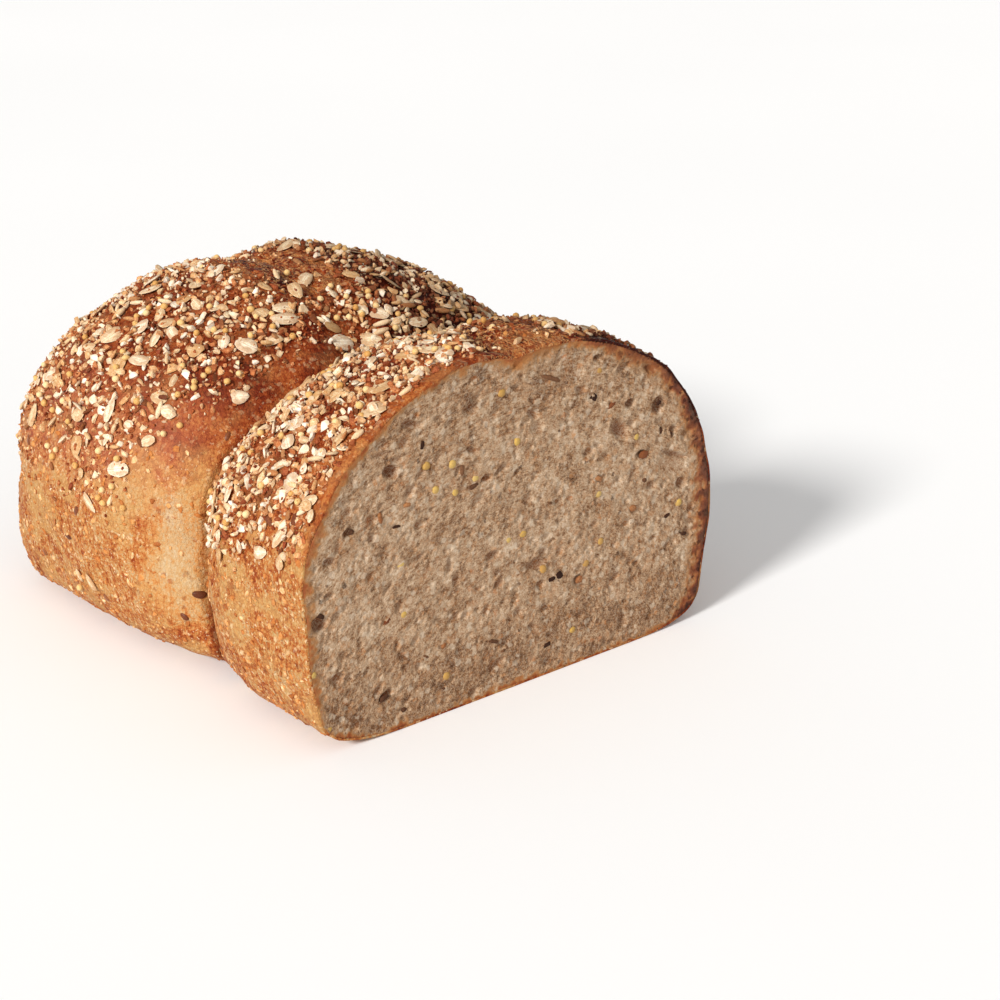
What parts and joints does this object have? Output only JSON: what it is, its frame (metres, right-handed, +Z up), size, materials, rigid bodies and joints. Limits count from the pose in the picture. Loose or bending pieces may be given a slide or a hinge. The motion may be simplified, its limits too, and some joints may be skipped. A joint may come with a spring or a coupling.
{
  "type": "seven-grain loaf of bread",
  "caption": "Seeded loaf of two risen lobes joined at a crease, cut across one lobe to show its open crumb.",
  "frame": {"origin": "on the flat base, under the middle of the loaf's box", "axes": "+X along the loaf, out of the cut face; +Y across it; +Z up from the base"},
  "size_m": [0.1634, 0.1454, 0.0935],
  "materials": {
    "crust": "satin golden brown baked crust, paler low on the flanks",
    "crumb": "matt grey-tan open crumb with grain flecks",
    "toppings": "dry matt oat flakes, cracked grain and millet"
  },
  "bodies": {
    "root": {"loaf": "crust"}
  },
  "joints": []
}
